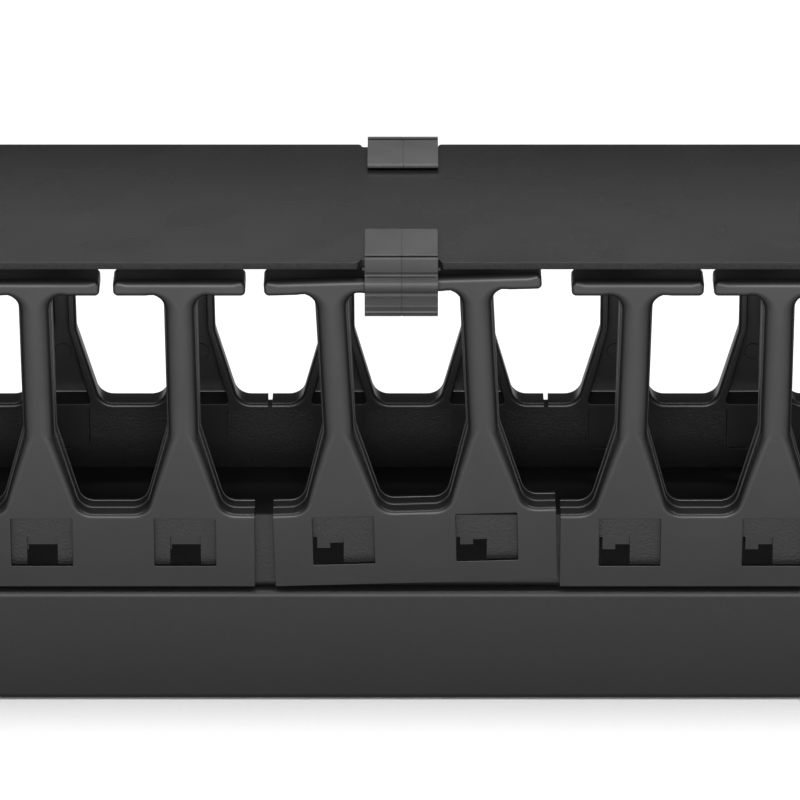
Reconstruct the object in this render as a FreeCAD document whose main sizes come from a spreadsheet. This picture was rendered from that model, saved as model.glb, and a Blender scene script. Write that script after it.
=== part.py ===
import FreeCAD, Part
import os

import Sketcher

# A vertical cable manager laid on its back: a steel mounting channel, a steel duct channel welded on
# top of it, two rows of moulded finger segments clipped over the duct walls, and a flat steel cover
# held by moulded hinge clips along both long edges.
# X runs along the manager, Y across it (minus Y is the front row), Z up from the floor.

SIZES = (
    ("total_length", 812.8, "length of both channels and of the cover"),
    ("segment_count", 9, "finger segments along each side"),
    ("segment_gap", 1.4, "gap between neighbouring segments"),
    ("end_margin", 6.35, "row of segments from the ends of the channels"),
    ("rack_unit", "=(total_length - 2 * end_margin) / (2 * segment_count)", "pitch of the fingers and holes"),
    ("mount_width", 98.0, "width of the mounting channel"),
    ("mount_height", 37.3, "height of the mounting channel"),
    ("mount_sheet", 1.5, "sheet of the mounting channel"),
    ("mount_lip", 12.0, "width of the lips it stands on"),
    ("bend_radius", 2.0, "outside radius of the folds"),
    ("duct_width", 91.5, "width over the duct walls"),
    ("duct_wall_height", 24.7, "duct wall above the mounting channel"),
    ("duct_sheet", 1.5, "sheet of the duct channel"),
    ("hole_side", 9.5, "side of the square holes"),
    ("hole_height", 12.45, "middle of the holes above the mounting channel"),
    ("bolt_hole", 7.0, "diameter of the mounting bolt holes"),
    ("bolt_inset", 28.575, "mounting bolts from the ends of the channels"),
    ("bolt_length", "=total_length - 2 * bolt_inset", "mounting bolts apart along the manager"),
    ("bolt_spread", 50.8, "mounting bolts apart across the manager"),
    ("finger_skin", 3.0, "outer skin of the finger segments"),
    ("finger_depth", 11.5, "depth of the posts, the bars and the saddle"),
    ("finger_reach", 79.2, "top of the finger bars above the duct wall"),
    ("band_lift", 1.7, "clearance under the band of a segment"),
    ("saddle_rise", 2.1, "throat floor above the duct wall"),
    ("throat_width", 19.6, "width of the throat at its floor"),
    ("throat_radius", 5.0, "corners of the throat floor"),
    ("flare_rise", 23.9, "flared foot of a post above the throat floor"),
    ("post_width", 10.4, "width of a post"),
    ("bar_gap", 4.05, "gap between neighbouring bars"),
    ("bar_length", "=rack_unit - bar_gap", "length of the bar on one post"),
    ("bridge_length", "=2 * rack_unit - bar_gap", "length of the bar that joins two posts"),
    ("bar_height", 4.8, "height of the bars"),
    ("bar_gusset", 3.2, "slanted corners between post and bar"),
    ("window_width", 19.2, "width of the windows in the band"),
    ("window_height", 15.8, "height of the windows below the duct wall's top"),
    ("tab_width", 16.6, "width of the tabs behind the duct wall"),
    ("tab_drop", 14.5, "reach of the tabs below the duct wall's top"),
    ("tab_gap", 0.2, "clearance between a tab and the duct wall"),
    ("recess_rim", 2.6, "rim round the hollow back of a post"),
    ("recess_skin", 2.5, "skin left in front of the hollow back"),
    ("recess_foot", 2.2, "foot of the hollow above the duct wall's top"),
    ("recess_flank", 3.4, "flank beside the foot of the hollow"),
    ("front_slide", 4.6, "how far the right-hand front segments have slid"),
    ("middle_slide", 4.5, "how far the middle front segment has slid"),
    ("middle_tilt", 1.6, "how far the middle front segment leans, in degrees"),
    ("rear_slide", 2.6, "how far the rear segments have slid"),
    ("cover_overhang", 2.05, "edge of the cover beyond the finger faces"),
    ("cover_width", "=duct_width + 2 * (finger_skin + cover_overhang)", "width of the cover"),
    ("cover_sheet", 1.8, "thickness of the cover"),
    ("cover_lift", 5.2, "underside of the cover above the finger bars"),
    ("notch_width", 24.5, "width of the cover's notches at the clips"),
    ("clip_segments", 3, "segments from one clip to the next"),
    ("clip_width", 22.4, "width of a hinge clip"),
    ("leaf_reach", 25.4, "clip leaf from the cover's edge inwards"),
    ("leaf_grip", 14.0, "clip jaw under the cover from its edge inwards"),
    ("leaf_sheet", 1.6, "thickness of the clip's leaf and jaw"),
    ("axis_inset", 0.8, "hinge axis inside the cover's edge"),
    ("axis_rise", 0.4, "hinge axis above the cover"),
    ("bead_radius", 0.8, "hinge bead of the lever"),
    ("bead_clearance", 0.05, "running clearance round the bead"),
    ("socket_wall", 0.65, "wall of the socket round the bead"),
    ("notch_clearance", 0.1, "clearance between socket and notch"),
    ("mouth_start", -32.0, "lower lip of the socket, degrees from outward"),
    ("mouth_end", 122.0, "upper lip of the socket, degrees from outward"),
    ("lever_neck", 0.8, "neck between bead and lever wall"),
    ("lever_wall", 0.9, "outer wall of the lever"),
    ("wall_gap", 1.65, "inner face of that wall beyond the axis"),
    ("wall_rise", 1.7, "that wall above the axis"),
    ("wall_drop", 3.5, "that wall below the axis"),
    ("waist", 1.3, "waist of the lever under the wall"),
    ("roll_proud", 0.65, "roll of the lever beyond its outer wall"),
    ("roll_rise", 2.3, "top of the roll above the finger bar"),
    ("roll_drop", 2.7, "foot of the roll below the top of the finger bar"),
    ("roll_bevel", 1.3, "bevels of the roll"),
    ("pad_gap", 0.3, "front levers clear the finger bar by this"),
    ("grip_drop", 8.0, "thumb grip from its start down"),
    ("grip_curl", 3.0, "thumb grip from its start inwards"),
    ("grip_inset", 0.8, "thumb grip behind the roll"),
    ("grip_wall", 1.8, "thickness of the thumb grip"),
    ("grip_end", 80.0, "curled end of the grip, degrees below its start"),
    ("rib_angle", 20.0, "degrees from one grip rib to the next"),
    ("rib_height", 0.5, "height of the grip ribs"),
    ("rib_width", 9.0, "foot of a grip rib in degrees"),
    ("cut_margin", 1.0, "how far a cut runs past the piece"),
)

RIB_COUNT = 4
CLIPS_PER_SIDE = 3
MOUTH_STEPS = 3

document = FreeCAD.newDocument("CableManager")
sheet = document.addObject("Spreadsheet::Sheet", "Sizes")
for row, (alias, number, note) in enumerate(SIZES, 1):
    sheet.set(f"A{row}", note)
    sheet.set(f"B{row}", str(number))
    sheet.setAlias(f"B{row}", alias)
document.recompute()

# Levels and faces that several pieces share, as expressions on the sheet
DUCT_FACE = "(Sizes.duct_width / 2)"
FINGER_FACE = f"({DUCT_FACE} + Sizes.finger_skin)"
FINGER_BACK = f"({FINGER_FACE} - Sizes.finger_depth)"
WALL_TOP = "(Sizes.mount_height + Sizes.duct_wall_height)"
THROAT = f"({WALL_TOP} + Sizes.saddle_rise)"
BAR_TOP = f"({WALL_TOP} + Sizes.finger_reach)"
BAR_FOOT = f"({BAR_TOP} - Sizes.bar_height)"
COVER_FOOT = f"({BAR_TOP} + Sizes.cover_lift)"
COVER_TOP = f"({COVER_FOOT} + Sizes.cover_sheet)"
COVER_EDGE = "(Sizes.cover_width / 2)"
SEGMENT_PITCH = "(2 * Sizes.rack_unit)"
SEGMENT_HALF = "(Sizes.rack_unit - Sizes.segment_gap / 2)"
AXIS_OUT = f"({COVER_EDGE} - Sizes.axis_inset)"
AXIS_UP = f"({COVER_TOP} + Sizes.axis_rise)"
BORE_RADIUS = "(Sizes.bead_radius + Sizes.bead_clearance)"
SOCKET_RADIUS = f"({BORE_RADIUS} + Sizes.socket_wall)"
NOTCH_EDGE = f"({AXIS_OUT} - {SOCKET_RADIUS} - Sizes.notch_clearance)"
CLIP_PITCH = f"(Sizes.clip_segments * {SEGMENT_PITCH})"


def value(expression):
    """The number that an expression on the sheet gives."""
    return float(sheet.evalExpression(expression))


def new_body(label):
    """An empty body with its own label."""
    body = document.addObject("PartDesign::Body", label)
    body.Label = label
    return body


def new_sketch(body, role, lift):
    """A sketch on one of the body's origin planes, moved along the plane's normal by an expression."""
    sketch = body.newObject("Sketcher::SketchObject", "Sketch")
    plane = next(item for item in body.Origin.OriginFeatures if item.Role == role)
    sketch.AttachmentSupport = [(plane, "")]
    sketch.MapMode = "FlatFace"
    sketch.setExpression("AttachmentOffset.Base.z", lift)
    return sketch


def draw_polygon(sketch, corners):
    """A closed chain of straight edges, each corner an (across, up) pair of expressions."""
    first = sketch.GeometryCount
    count = len(corners)
    spots = [FreeCAD.Vector(value(across), value(up), 0) for across, up in corners]
    sketch.addGeometry([Part.LineSegment(spots[i], spots[(i + 1) % count]) for i in range(count)])
    joins = [
        Sketcher.Constraint("Coincident", first + i, 2, first + (i + 1) % count, 1) for i in range(count)
    ]
    sketch.addConstraint(joins)
    for i, (across, up) in enumerate(corners):
        for kind, expression in (("DistanceX", across), ("DistanceY", up)):
            place = Sketcher.Constraint(kind, -1, 1, first + i, 1, value(expression))
            index = sketch.addConstraint(place)
            sketch.setExpression(f"Constraints[{index}]", expression)


def draw_box(sketch, left, right, low, high):
    """A rectangle between four expressions."""
    draw_polygon(sketch, [(left, low), (right, low), (right, high), (left, high)])


def draw_circle(sketch, across, up, radius):
    """A circle whose middle and radius are expressions."""
    middle = FreeCAD.Vector(value(across), value(up), 0)
    ring = sketch.addGeometry(Part.Circle(middle, FreeCAD.Vector(0, 0, 1), value(radius)))
    for kind, expression in (("DistanceX", across), ("DistanceY", up)):
        index = sketch.addConstraint(Sketcher.Constraint(kind, -1, 1, ring, 3, value(expression)))
        sketch.setExpression(f"Constraints[{index}]", expression)
    index = sketch.addConstraint(Sketcher.Constraint("Radius", ring, value(radius)))
    sketch.setExpression(f"Constraints[{index}]", radius)


def pad(body, sketch, length, reverse=False):
    """Pad a sketch along its plane's normal, or against it."""
    feature = body.newObject("PartDesign::Pad", "Pad")
    feature.Profile = sketch
    feature.setExpression("Length", length)
    feature.Reversed = reverse
    return feature


def pocket(body, sketch, length, reverse=False):
    """Cut a sketch against its plane's normal, or along it."""
    feature = body.newObject("PartDesign::Pocket", "Pocket")
    feature.Profile = sketch
    feature.setExpression("Length", length)
    feature.Reversed = reverse
    return feature


def dress_edges(body, kind, direction, spots, size):
    """Fillet or chamfer the body's straight edges along a direction that pass through any of the spots."""
    document.recompute()
    base = body.Tip
    names = []
    for number, edge in enumerate(base.Shape.Edges, 1):
        run = edge.Vertexes[-1].Point - edge.Vertexes[0].Point
        if run.Length < 1e-6 or run.cross(direction).Length > 1e-6 * run.Length:
            continue
        start = edge.Vertexes[0].Point
        for spot in spots:
            aside = (spot - start).cross(direction)
            if aside.Length < 1e-4:
                names.append(f"Edge{number}")
                break
    feature = body.newObject(f"PartDesign::{kind}", kind)
    feature.Base = (base, names)
    feature.setExpression({"Fillet": "Radius", "Chamfer": "Size"}[kind], size)
    return feature


ALONG = FreeCAD.Vector(1, 0, 0)
ACROSS = FreeCAD.Vector(0, 1, 0)
UPWARD = FreeCAD.Vector(0, 0, 1)


def bolt_places():
    """Where the four mounting bolts go, as (along, across) expressions."""
    along = ("Sizes.bolt_length / 2", "-Sizes.bolt_length / 2")
    across = ("Sizes.bolt_spread / 2", "-Sizes.bolt_spread / 2")
    return [(far, side) for far in along for side in across]


def mounting_channel():
    """The inverted channel that goes over a rack upright, folded with two lips to stand on."""
    body = new_body("mounting_channel")
    half = "(Sizes.mount_width / 2)"
    inner = f"({half} - Sizes.mount_sheet)"
    lip = f"({half} - Sizes.mount_lip)"
    roof = "(Sizes.mount_height - Sizes.mount_sheet)"
    section = new_sketch(body, "YZ_Plane", "-Sizes.total_length / 2")
    right = [(lip, "0"), (half, "0"), (half, "Sizes.mount_height")]
    inside = [(inner, roof), (inner, "Sizes.mount_sheet"), (lip, "Sizes.mount_sheet")]
    left = [(f"-{across}", up) for across, up in reversed(right)]
    left_inside = [(f"-{across}", up) for across, up in reversed(inside)]
    draw_polygon(section, right + left + left_inside + inside)
    pad(body, section, "Sizes.total_length")
    side = value(half)
    outer = [
        FreeCAD.Vector(0, sign * side, up) for sign in (1, -1) for up in (0, value("Sizes.mount_height"))
    ]
    dress_edges(body, "Fillet", ALONG, outer, "Sizes.bend_radius")
    bolts = new_sketch(body, "XY_Plane", "Sizes.mount_height")
    for along, across in bolt_places():
        draw_circle(bolts, along, across, "Sizes.bolt_hole / 2")
    pocket(body, bolts, "2 * Sizes.mount_sheet")
    return body


def duct_channel():
    """The open duct: a floor and two walls, with a square hole in each wall at every rack unit, and
    square holes in the floor for the necks of the mounting bolts."""
    body = new_body("duct_channel")
    inner = f"({DUCT_FACE} - Sizes.duct_sheet)"
    floor = "(Sizes.mount_height + Sizes.duct_sheet)"
    section = new_sketch(body, "YZ_Plane", "-Sizes.total_length / 2")
    right = [(DUCT_FACE, "Sizes.mount_height"), (DUCT_FACE, WALL_TOP), (inner, WALL_TOP), (inner, floor)]
    left = [(f"-{across}", up) for across, up in reversed(right)]
    draw_polygon(section, right + left)
    pad(body, section, "Sizes.total_length")
    side = value(DUCT_FACE)
    corners = [FreeCAD.Vector(0, sign * side, value("Sizes.mount_height")) for sign in (1, -1)]
    dress_edges(body, "Fillet", ALONG, corners, "Sizes.bend_radius")

    square = new_sketch(body, "XZ_Plane", f"{DUCT_FACE} + Sizes.cut_margin")
    start = "((0.5 - Sizes.segment_count) * Sizes.rack_unit)"
    middle = "(Sizes.mount_height + Sizes.hole_height)"
    half = "(Sizes.hole_side / 2)"
    draw_box(square, f"{start} - {half}", f"{start} + {half}", f"{middle} - {half}", f"{middle} + {half}")
    hole = pocket(body, square, "Sizes.duct_width + 2 * Sizes.cut_margin")
    row = body.newObject("PartDesign::LinearPattern", "HoleRow")
    row.Originals = [hole]
    row.Direction = (square, ["H_Axis"])
    row.setExpression("Length", "(2 * Sizes.segment_count - 1) * Sizes.rack_unit")
    row.setExpression("Occurrences", "2 * Sizes.segment_count")
    body.Tip = row

    necks = new_sketch(body, "XY_Plane", floor)
    for along, across in bolt_places():
        draw_box(necks, f"{along} - {half}", f"{along} + {half}", f"{across} - {half}", f"{across} + {half}")
    pocket(body, necks, "2 * Sizes.duct_sheet")
    return body


def finger_segment(label, bridged):
    """One moulding of two fingers: a band with two windows outside the duct wall, a saddle on its top
    edge, two tabs behind it, and two hollow posts that end in bars, or in one bar across both."""
    body = new_body(label)
    post = "(Sizes.rack_unit / 2)"
    post_half = "(Sizes.post_width / 2)"
    near = f"({post} - {post_half})"
    far = f"({post} + {post_half})"
    throat_near = "(Sizes.throat_width / 2)"
    throat_far = f"(Sizes.rack_unit - {throat_near})"
    flare = f"({THROAT} + Sizes.flare_rise)"
    band_foot = "(Sizes.mount_height + Sizes.band_lift)"

    outline = new_sketch(body, "XZ_Plane", FINGER_FACE)
    right = [
        (SEGMENT_HALF, band_foot), (SEGMENT_HALF, THROAT), (throat_far, THROAT), (far, flare),
        (far, BAR_TOP), (near, BAR_TOP), (near, flare), (throat_near, THROAT),
    ]
    left = [(f"-{across}", up) for across, up in reversed(right)]
    draw_polygon(outline, right + left)
    pad(body, outline, "Sizes.finger_depth", reverse=True)

    wall = new_sketch(body, "XZ_Plane", DUCT_FACE)
    beyond = f"({SEGMENT_HALF} + Sizes.cut_margin)"
    draw_box(wall, f"-{beyond}", beyond, f"{band_foot} - Sizes.cut_margin", WALL_TOP)
    pocket(body, wall, "Sizes.finger_depth")

    tabs = new_sketch(body, "XZ_Plane", FINGER_BACK)
    bars = new_sketch(body, "XZ_Plane", FINGER_FACE)
    windows = new_sketch(body, "XZ_Plane", FINGER_FACE)
    hollows = new_sketch(body, "XZ_Plane", FINGER_BACK)
    for middle in (post, f"-{post}"):
        draw_box(
            tabs, f"{middle} - Sizes.tab_width / 2", f"{middle} + Sizes.tab_width / 2",
            f"{WALL_TOP} - Sizes.tab_drop", f"{WALL_TOP} + Sizes.saddle_rise / 2",
        )
        draw_box(
            windows, f"{middle} - Sizes.window_width / 2", f"{middle} + Sizes.window_width / 2",
            f"{WALL_TOP} - Sizes.window_height", WALL_TOP,
        )
        foot = f"({WALL_TOP} + Sizes.recess_foot)"
        inside = f"({post_half} - Sizes.recess_rim)"
        foot_inside = f"({post} - {throat_near} - Sizes.recess_flank)"
        top = f"({BAR_FOOT} - Sizes.recess_rim)"
        draw_polygon(hollows, [
            (f"{middle} - {foot_inside}", foot), (f"{middle} + {foot_inside}", foot),
            (f"{middle} + {inside}", flare), (f"{middle} + {inside}", top),
            (f"{middle} - {inside}", top), (f"{middle} - {inside}", flare),
        ])
        if not bridged:
            draw_box(bars, f"{middle} - Sizes.bar_length / 2", f"{middle} + Sizes.bar_length / 2",
                     BAR_FOOT, BAR_TOP)
    if bridged:
        draw_box(bars, "-Sizes.bridge_length / 2", "Sizes.bridge_length / 2", BAR_FOOT, BAR_TOP)
    pad(body, tabs, "Sizes.finger_depth - Sizes.finger_skin - Sizes.duct_sheet - Sizes.tab_gap")
    pad(body, bars, "Sizes.finger_depth", reverse=True)
    pocket(body, windows, "Sizes.finger_skin")
    pocket(body, hollows, "Sizes.finger_depth - Sizes.recess_skin", reverse=True)

    throat_spots = [
        FreeCAD.Vector(sign * value(across), 0, value(THROAT))
        for across in (throat_near, throat_far) for sign in (1, -1)
    ]
    dress_edges(body, "Fillet", ACROSS, throat_spots, "Sizes.throat_radius")
    bar_spots = [
        FreeCAD.Vector(sign * value(across), 0, value(BAR_FOOT))
        for across in (near, far) for sign in (1, -1)
    ]
    dress_edges(body, "Chamfer", ACROSS, bar_spots, "Sizes.bar_gusset")
    return body


def cover_panel():
    """The flat steel cover, notched at each hinge clip."""
    body = new_body("cover_panel")
    outline = new_sketch(body, "XY_Plane", COVER_FOOT)
    half = "(Sizes.total_length / 2)"
    draw_box(outline, f"-{half}", half, f"-{COVER_EDGE}", COVER_EDGE)
    pad(body, outline, "Sizes.cover_sheet")
    notches = new_sketch(body, "XY_Plane", COVER_TOP)
    beyond = f"({COVER_EDGE} + Sizes.cut_margin)"
    for place in clip_places():
        left = f"{place} - Sizes.notch_width / 2"
        right = f"{place} + Sizes.notch_width / 2"
        draw_box(notches, left, right, NOTCH_EDGE, beyond)
        draw_box(notches, left, right, f"-{beyond}", f"-{NOTCH_EDGE}")
    pocket(body, notches, "2 * Sizes.cover_sheet")
    return body


def clip_places():
    """Where the clips stand along the manager, middle one at nought."""
    middle = (CLIPS_PER_SIDE - 1) // 2
    return [f"({number - middle} * {CLIP_PITCH})" for number in range(CLIPS_PER_SIDE)]


def polar(radius, angle):
    """A point round the hinge axis, angle in degrees from outward towards up."""
    return (f"{AXIS_OUT} + {radius} * cos({angle} * 1 deg)", f"{AXIS_UP} + {radius} * sin({angle} * 1 deg)")


def clip_leaf(label):
    """The clip's leaf: a plate over the cover and a jaw under it, joined through the notch, with a
    C-shaped socket along its outer edge."""
    body = new_body(label)
    start = "-Sizes.clip_width / 2"
    gap = f"({NOTCH_EDGE} + Sizes.notch_clearance)"
    plate_end = f"({COVER_EDGE} - Sizes.leaf_reach)"
    jaw_end = f"({COVER_EDGE} - Sizes.leaf_grip)"
    plate_top = f"({COVER_TOP} + Sizes.leaf_sheet)"
    jaw_foot = f"({COVER_FOOT} - Sizes.leaf_sheet)"
    channel = new_sketch(body, "YZ_Plane", start)
    draw_polygon(channel, [
        (plate_end, COVER_TOP), (gap, COVER_TOP), (gap, COVER_FOOT), (jaw_end, COVER_FOOT),
        (jaw_end, jaw_foot), (AXIS_OUT, jaw_foot), (AXIS_OUT, plate_top), (plate_end, plate_top),
    ])
    pad(body, channel, "Sizes.clip_width")
    socket = new_sketch(body, "YZ_Plane", start)
    draw_circle(socket, AXIS_OUT, AXIS_UP, SOCKET_RADIUS)
    pad(body, socket, "Sizes.clip_width")
    bore = new_sketch(body, "YZ_Plane", start)
    draw_circle(bore, AXIS_OUT, AXIS_UP, BORE_RADIUS)
    pocket(body, bore, "Sizes.clip_width", reverse=True)
    mouth = new_sketch(body, "YZ_Plane", start)
    span = "(Sizes.mouth_end - Sizes.mouth_start)"
    clear = f"(2 * {SOCKET_RADIUS})"
    fan = [
        polar(clear, f"(Sizes.mouth_start + {step} * {span} / {MOUTH_STEPS})")
        for step in range(MOUTH_STEPS + 1)
    ]
    draw_polygon(mouth, [(AXIS_OUT, AXIS_UP)] + fan)
    pocket(body, mouth, "Sizes.clip_width", reverse=True)
    return body


def clip_lever(label, pad_gap):
    """The clip's lever: a bead that turns in the leaf's socket, an outer wall, a narrow waist, a roll
    and a ribbed thumb grip. Its pad stands pad_gap off the finger bar."""
    body = new_body(label)
    wall_in = f"({AXIS_OUT} + Sizes.wall_gap)"
    wall_out = f"({wall_in} + Sizes.lever_wall)"
    wall_top = f"({AXIS_UP} + Sizes.wall_rise)"
    wall_foot = f"({AXIS_UP} - Sizes.wall_drop)"
    shelf = f"({wall_foot} + Sizes.lever_wall)"
    neck_top = f"({AXIS_UP} + Sizes.lever_neck / 2)"
    neck_foot = f"({AXIS_UP} - Sizes.lever_neck / 2)"
    waist_in = f"({wall_in} - Sizes.waist)"
    roll_out = f"({wall_out} + Sizes.roll_proud)"
    roll_top = f"({BAR_TOP} + Sizes.roll_rise)"
    roll_foot = f"({BAR_TOP} - Sizes.roll_drop)"
    roll_bevel = f"({roll_out} - Sizes.roll_bevel)"
    grip_middle = f"({roll_out} - Sizes.grip_inset - Sizes.grip_curl)"
    face = f"({FINGER_FACE} + {pad_gap})"

    def grip(rise, angle):
        """A point on the thumb grip's quarter ellipse, raised off it."""
        across = f"{grip_middle} + (Sizes.grip_curl + {rise}) * cos({angle} * 1 deg)"
        return (across, f"{roll_foot} - (Sizes.grip_drop + {rise}) * sin({angle} * 1 deg)")

    ribs = []
    for number in reversed(range(RIB_COUNT)):
        crest = f"({number} + 0.5) * Sizes.rib_angle"
        ribs.append(grip("0", f"({crest} + Sizes.rib_width / 2)"))
        ribs.append(grip("Sizes.rib_height", f"({crest})"))
        ribs.append(grip("0", f"({crest} - Sizes.rib_width / 2)"))
    section = new_sketch(body, "YZ_Plane", "-Sizes.clip_width / 2")
    draw_polygon(section, [
        (wall_out, wall_top), (wall_in, wall_top), (wall_in, neck_top), (AXIS_OUT, neck_top),
        (AXIS_OUT, neck_foot), (wall_in, neck_foot), (wall_in, shelf), (waist_in, shelf),
        (waist_in, roll_top), (face, BAR_TOP), (face, BAR_FOOT),
        grip("-Sizes.grip_wall", "(Sizes.grip_end / 2)"), grip("-Sizes.grip_wall", "Sizes.grip_end"),
        grip("0", "Sizes.grip_end"),
    ] + ribs + [
        (roll_bevel, roll_foot), (roll_out, f"{roll_foot} + Sizes.roll_bevel"),
        (roll_out, f"{roll_top} - Sizes.roll_bevel"), (roll_bevel, roll_top),
        (wall_in, roll_top), (wall_in, wall_foot), (wall_out, wall_foot),
    ])
    pad(body, section, "Sizes.clip_width")
    bead = new_sketch(body, "YZ_Plane", "-Sizes.clip_width / 2")
    draw_circle(bead, AXIS_OUT, AXIS_UP, "Sizes.bead_radius")
    pad(body, bead, "Sizes.clip_width")
    return body


def half_turn(body):
    """Turn a piece half way round, to the other long side."""
    body.Placement.Rotation = FreeCAD.Rotation(UPWARD, 180)


def lean(body):
    """Lean a front segment over the near end of its saddle, its right-hand end up."""
    angle = "(Sizes.middle_tilt * 1 deg)"
    body.Placement.Rotation = FreeCAD.Rotation(ACROSS, -value("Sizes.middle_tilt"))
    sideways = f"{SEGMENT_HALF} * (cos({angle}) - 1) + {WALL_TOP} * sin({angle})"
    body.setExpression("Placement.Base.x", f"{sideways} + Sizes.middle_slide")
    body.setExpression("Placement.Base.z", f"{WALL_TOP} * (1 - cos({angle})) + {SEGMENT_HALF} * sin({angle})")


def build():
    """Make every piece and put it in its place."""
    pieces = [mounting_channel(), duct_channel(), cover_panel()]
    count = int(value("Sizes.segment_count"))
    spacing = int(value("Sizes.clip_segments"))
    middle = (count - 1) // 2
    for number in range(count):
        bridged = (number - middle) % spacing == 0
        along = f"{number - middle} * {SEGMENT_PITCH}"
        front = finger_segment(f"front_fingers_{number + 1}", bridged)
        if number == middle:
            lean(front)
        elif number > middle:
            front.setExpression("Placement.Base.x", f"{along} + Sizes.front_slide")
        else:
            front.setExpression("Placement.Base.x", along)
        rear = finger_segment(f"rear_fingers_{number + 1}", bridged)
        half_turn(rear)
        rear.setExpression("Placement.Base.x", f"{along} + Sizes.rear_slide")
        pieces += [front, rear]
    for number, place in enumerate(clip_places(), 1):
        for side, gap in (("front", "Sizes.pad_gap"), ("rear", "0")):
            leaf = clip_leaf(f"{side}_clip_leaf_{number}")
            lever = clip_lever(f"{side}_clip_lever_{number}", gap)
            for piece in (leaf, lever):
                if side == "front":
                    half_turn(piece)
                piece.setExpression("Placement.Base.x", place)
            pieces += [leaf, lever]
    document.recompute()
    return pieces


def check_and_write(pieces):
    """Stop if any object failed or any piece isn't one sound solid, then write each piece's file."""
    for item in document.Objects:
        if "Invalid" in item.State or "Error" in item.State:
            raise RuntimeError(f"{item.Label} failed: {item.State}")
    for piece in pieces:
        shape = piece.Shape
        if shape.isNull() or not shape.isValid() or len(shape.Solids) != 1:
            raise RuntimeError(f"{piece.Label} is not one sound solid")
    os.makedirs("parts", exist_ok=True)
    for piece in pieces:
        piece.Shape.exportStep(f"parts/{piece.Label}.step")
    print(len(pieces), "pieces written")


check_and_write(build())
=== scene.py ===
# %% [markdown]
# # A vertical cable manager, dressed for a studio picture
# The object guides bundles of cable along a rack: a folded steel duct with moulded fingers along both
# sides, and a flat steel cover held by hinge clips. The CAD model gives every piece its place and its
# motion. This lesson replaces its plain solids with mouldings that have draft, rounded edges, parting
# lines and real finishes, and then lights them. Sizes of the object are in millimetres, as in the CAD,
# and sizes of the studio are in metres.

import math

import bmesh
import bpy
import numpy as np
from mathutils.geometry import tessellate_polygon
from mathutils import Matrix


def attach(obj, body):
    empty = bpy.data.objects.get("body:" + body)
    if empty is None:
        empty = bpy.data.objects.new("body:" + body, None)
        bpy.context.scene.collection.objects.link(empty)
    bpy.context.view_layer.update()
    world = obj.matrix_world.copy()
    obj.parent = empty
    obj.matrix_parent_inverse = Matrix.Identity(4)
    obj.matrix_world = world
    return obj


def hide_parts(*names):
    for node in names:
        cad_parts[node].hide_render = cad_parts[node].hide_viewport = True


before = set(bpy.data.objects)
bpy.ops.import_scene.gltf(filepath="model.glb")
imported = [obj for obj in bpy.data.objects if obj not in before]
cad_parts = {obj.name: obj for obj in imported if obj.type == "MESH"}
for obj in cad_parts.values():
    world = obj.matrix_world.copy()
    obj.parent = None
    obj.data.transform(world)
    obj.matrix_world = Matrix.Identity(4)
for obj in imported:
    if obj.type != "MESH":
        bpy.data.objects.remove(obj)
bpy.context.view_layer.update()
MM = 0.001

# %% [markdown]
# ## Paths with rounded corners
# Every outline here is a chain of straight runs with a radius at each corner, like a toolmaker's
# drawing. It could be drawn as a Blender curve, but a formula keeps the normal at each point, and the
# edge profiles of the mouldings need that normal.

# %% A chain of runs and arcs
ARC_STEPS = 8


def rounded_path(corners, radii, closed=True, widths=None, steps=ARC_STEPS):
    """Straight runs joined by arcs. At a corner that turns by t, the arc of radius r starts r * tan(t / 2)
    before the corner, and each of its points is the arc's middle plus r times a normal that turns evenly
    from the first run's to the second's. Gives the points, their right-hand normals, and a width that
    goes evenly along each arc from the first to the second of that corner's pair."""
    corners, radii = np.asarray(corners, float), np.asarray(radii, float)
    arriving = corners - np.roll(corners, 1, axis=0)
    leaving = np.roll(corners, -1, axis=0) - corners
    if not closed:
        arriving[0], leaving[-1] = leaving[0], arriving[-1]
    heading = np.arctan2(arriving[:, 1], arriving[:, 0])
    turn = np.arctan2(leaving[:, 1], leaving[:, 0]) - heading
    turn = (turn + np.pi) % (2 * np.pi) - np.pi
    signed = (np.sign(turn) * radii)[:, None]
    run = np.stack([np.cos(heading), np.sin(heading)], axis=1)
    start = corners - (radii * np.tan(np.abs(turn) / 2))[:, None] * run
    share = np.linspace(0, 1, steps)
    angle = heading[:, None] + share * turn[:, None]
    normal = np.stack([np.sin(angle), -np.cos(angle)], axis=2)
    points = (start - signed * normal[:, 0])[:, None] + signed[:, None] * normal
    pairs = np.zeros((len(corners), 2)) if widths is None else np.asarray(widths, float)
    width = pairs[:, :1] + share * (pairs[:, 1:] - pairs[:, :1])
    points, normal, width = points.reshape(-1, 2), normal.reshape(-1, 2), width.reshape(-1)
    new = np.linalg.norm(points - np.roll(points, 1, axis=0), axis=1) > 1e-6
    new[0] = new[0] or not closed
    return points[new], normal[new], width[new]


# %% [markdown]
# ## Surfaces from a profile and a path
# A rim is one profile carried along a path: the profile says how far the surface stands in from the
# outline at each depth. The flat faces between the rims are filled with triangles, and the patches are
# then welded into one closed skin.

# %% Patches: points and the faces between them
def carry(points, normals, insets, depths):
    """A grid of (across, depth, up): each path point moved along its normal by the profile's inset."""
    across = points[:, :1] + normals[:, :1] * insets
    up = points[:, 1:] + normals[:, 1:] * insets
    return np.stack([across, np.broadcast_to(depths, across.shape), up], axis=2)


def grid_patch(grid, closed):
    """The grid's points and one quad between each four neighbours, round the end where it is closed."""
    rows, columns = grid.shape[:2]
    number = np.arange(rows * columns).reshape(rows, columns)
    if closed:
        number = np.concatenate([number, number[:1]])
    quads = np.stack([number[:-1, :-1], number[1:, :-1], number[1:, 1:], number[:-1, 1:]], axis=2)
    return grid.reshape(-1, 3), quads.reshape(-1, 4).tolist()


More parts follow.
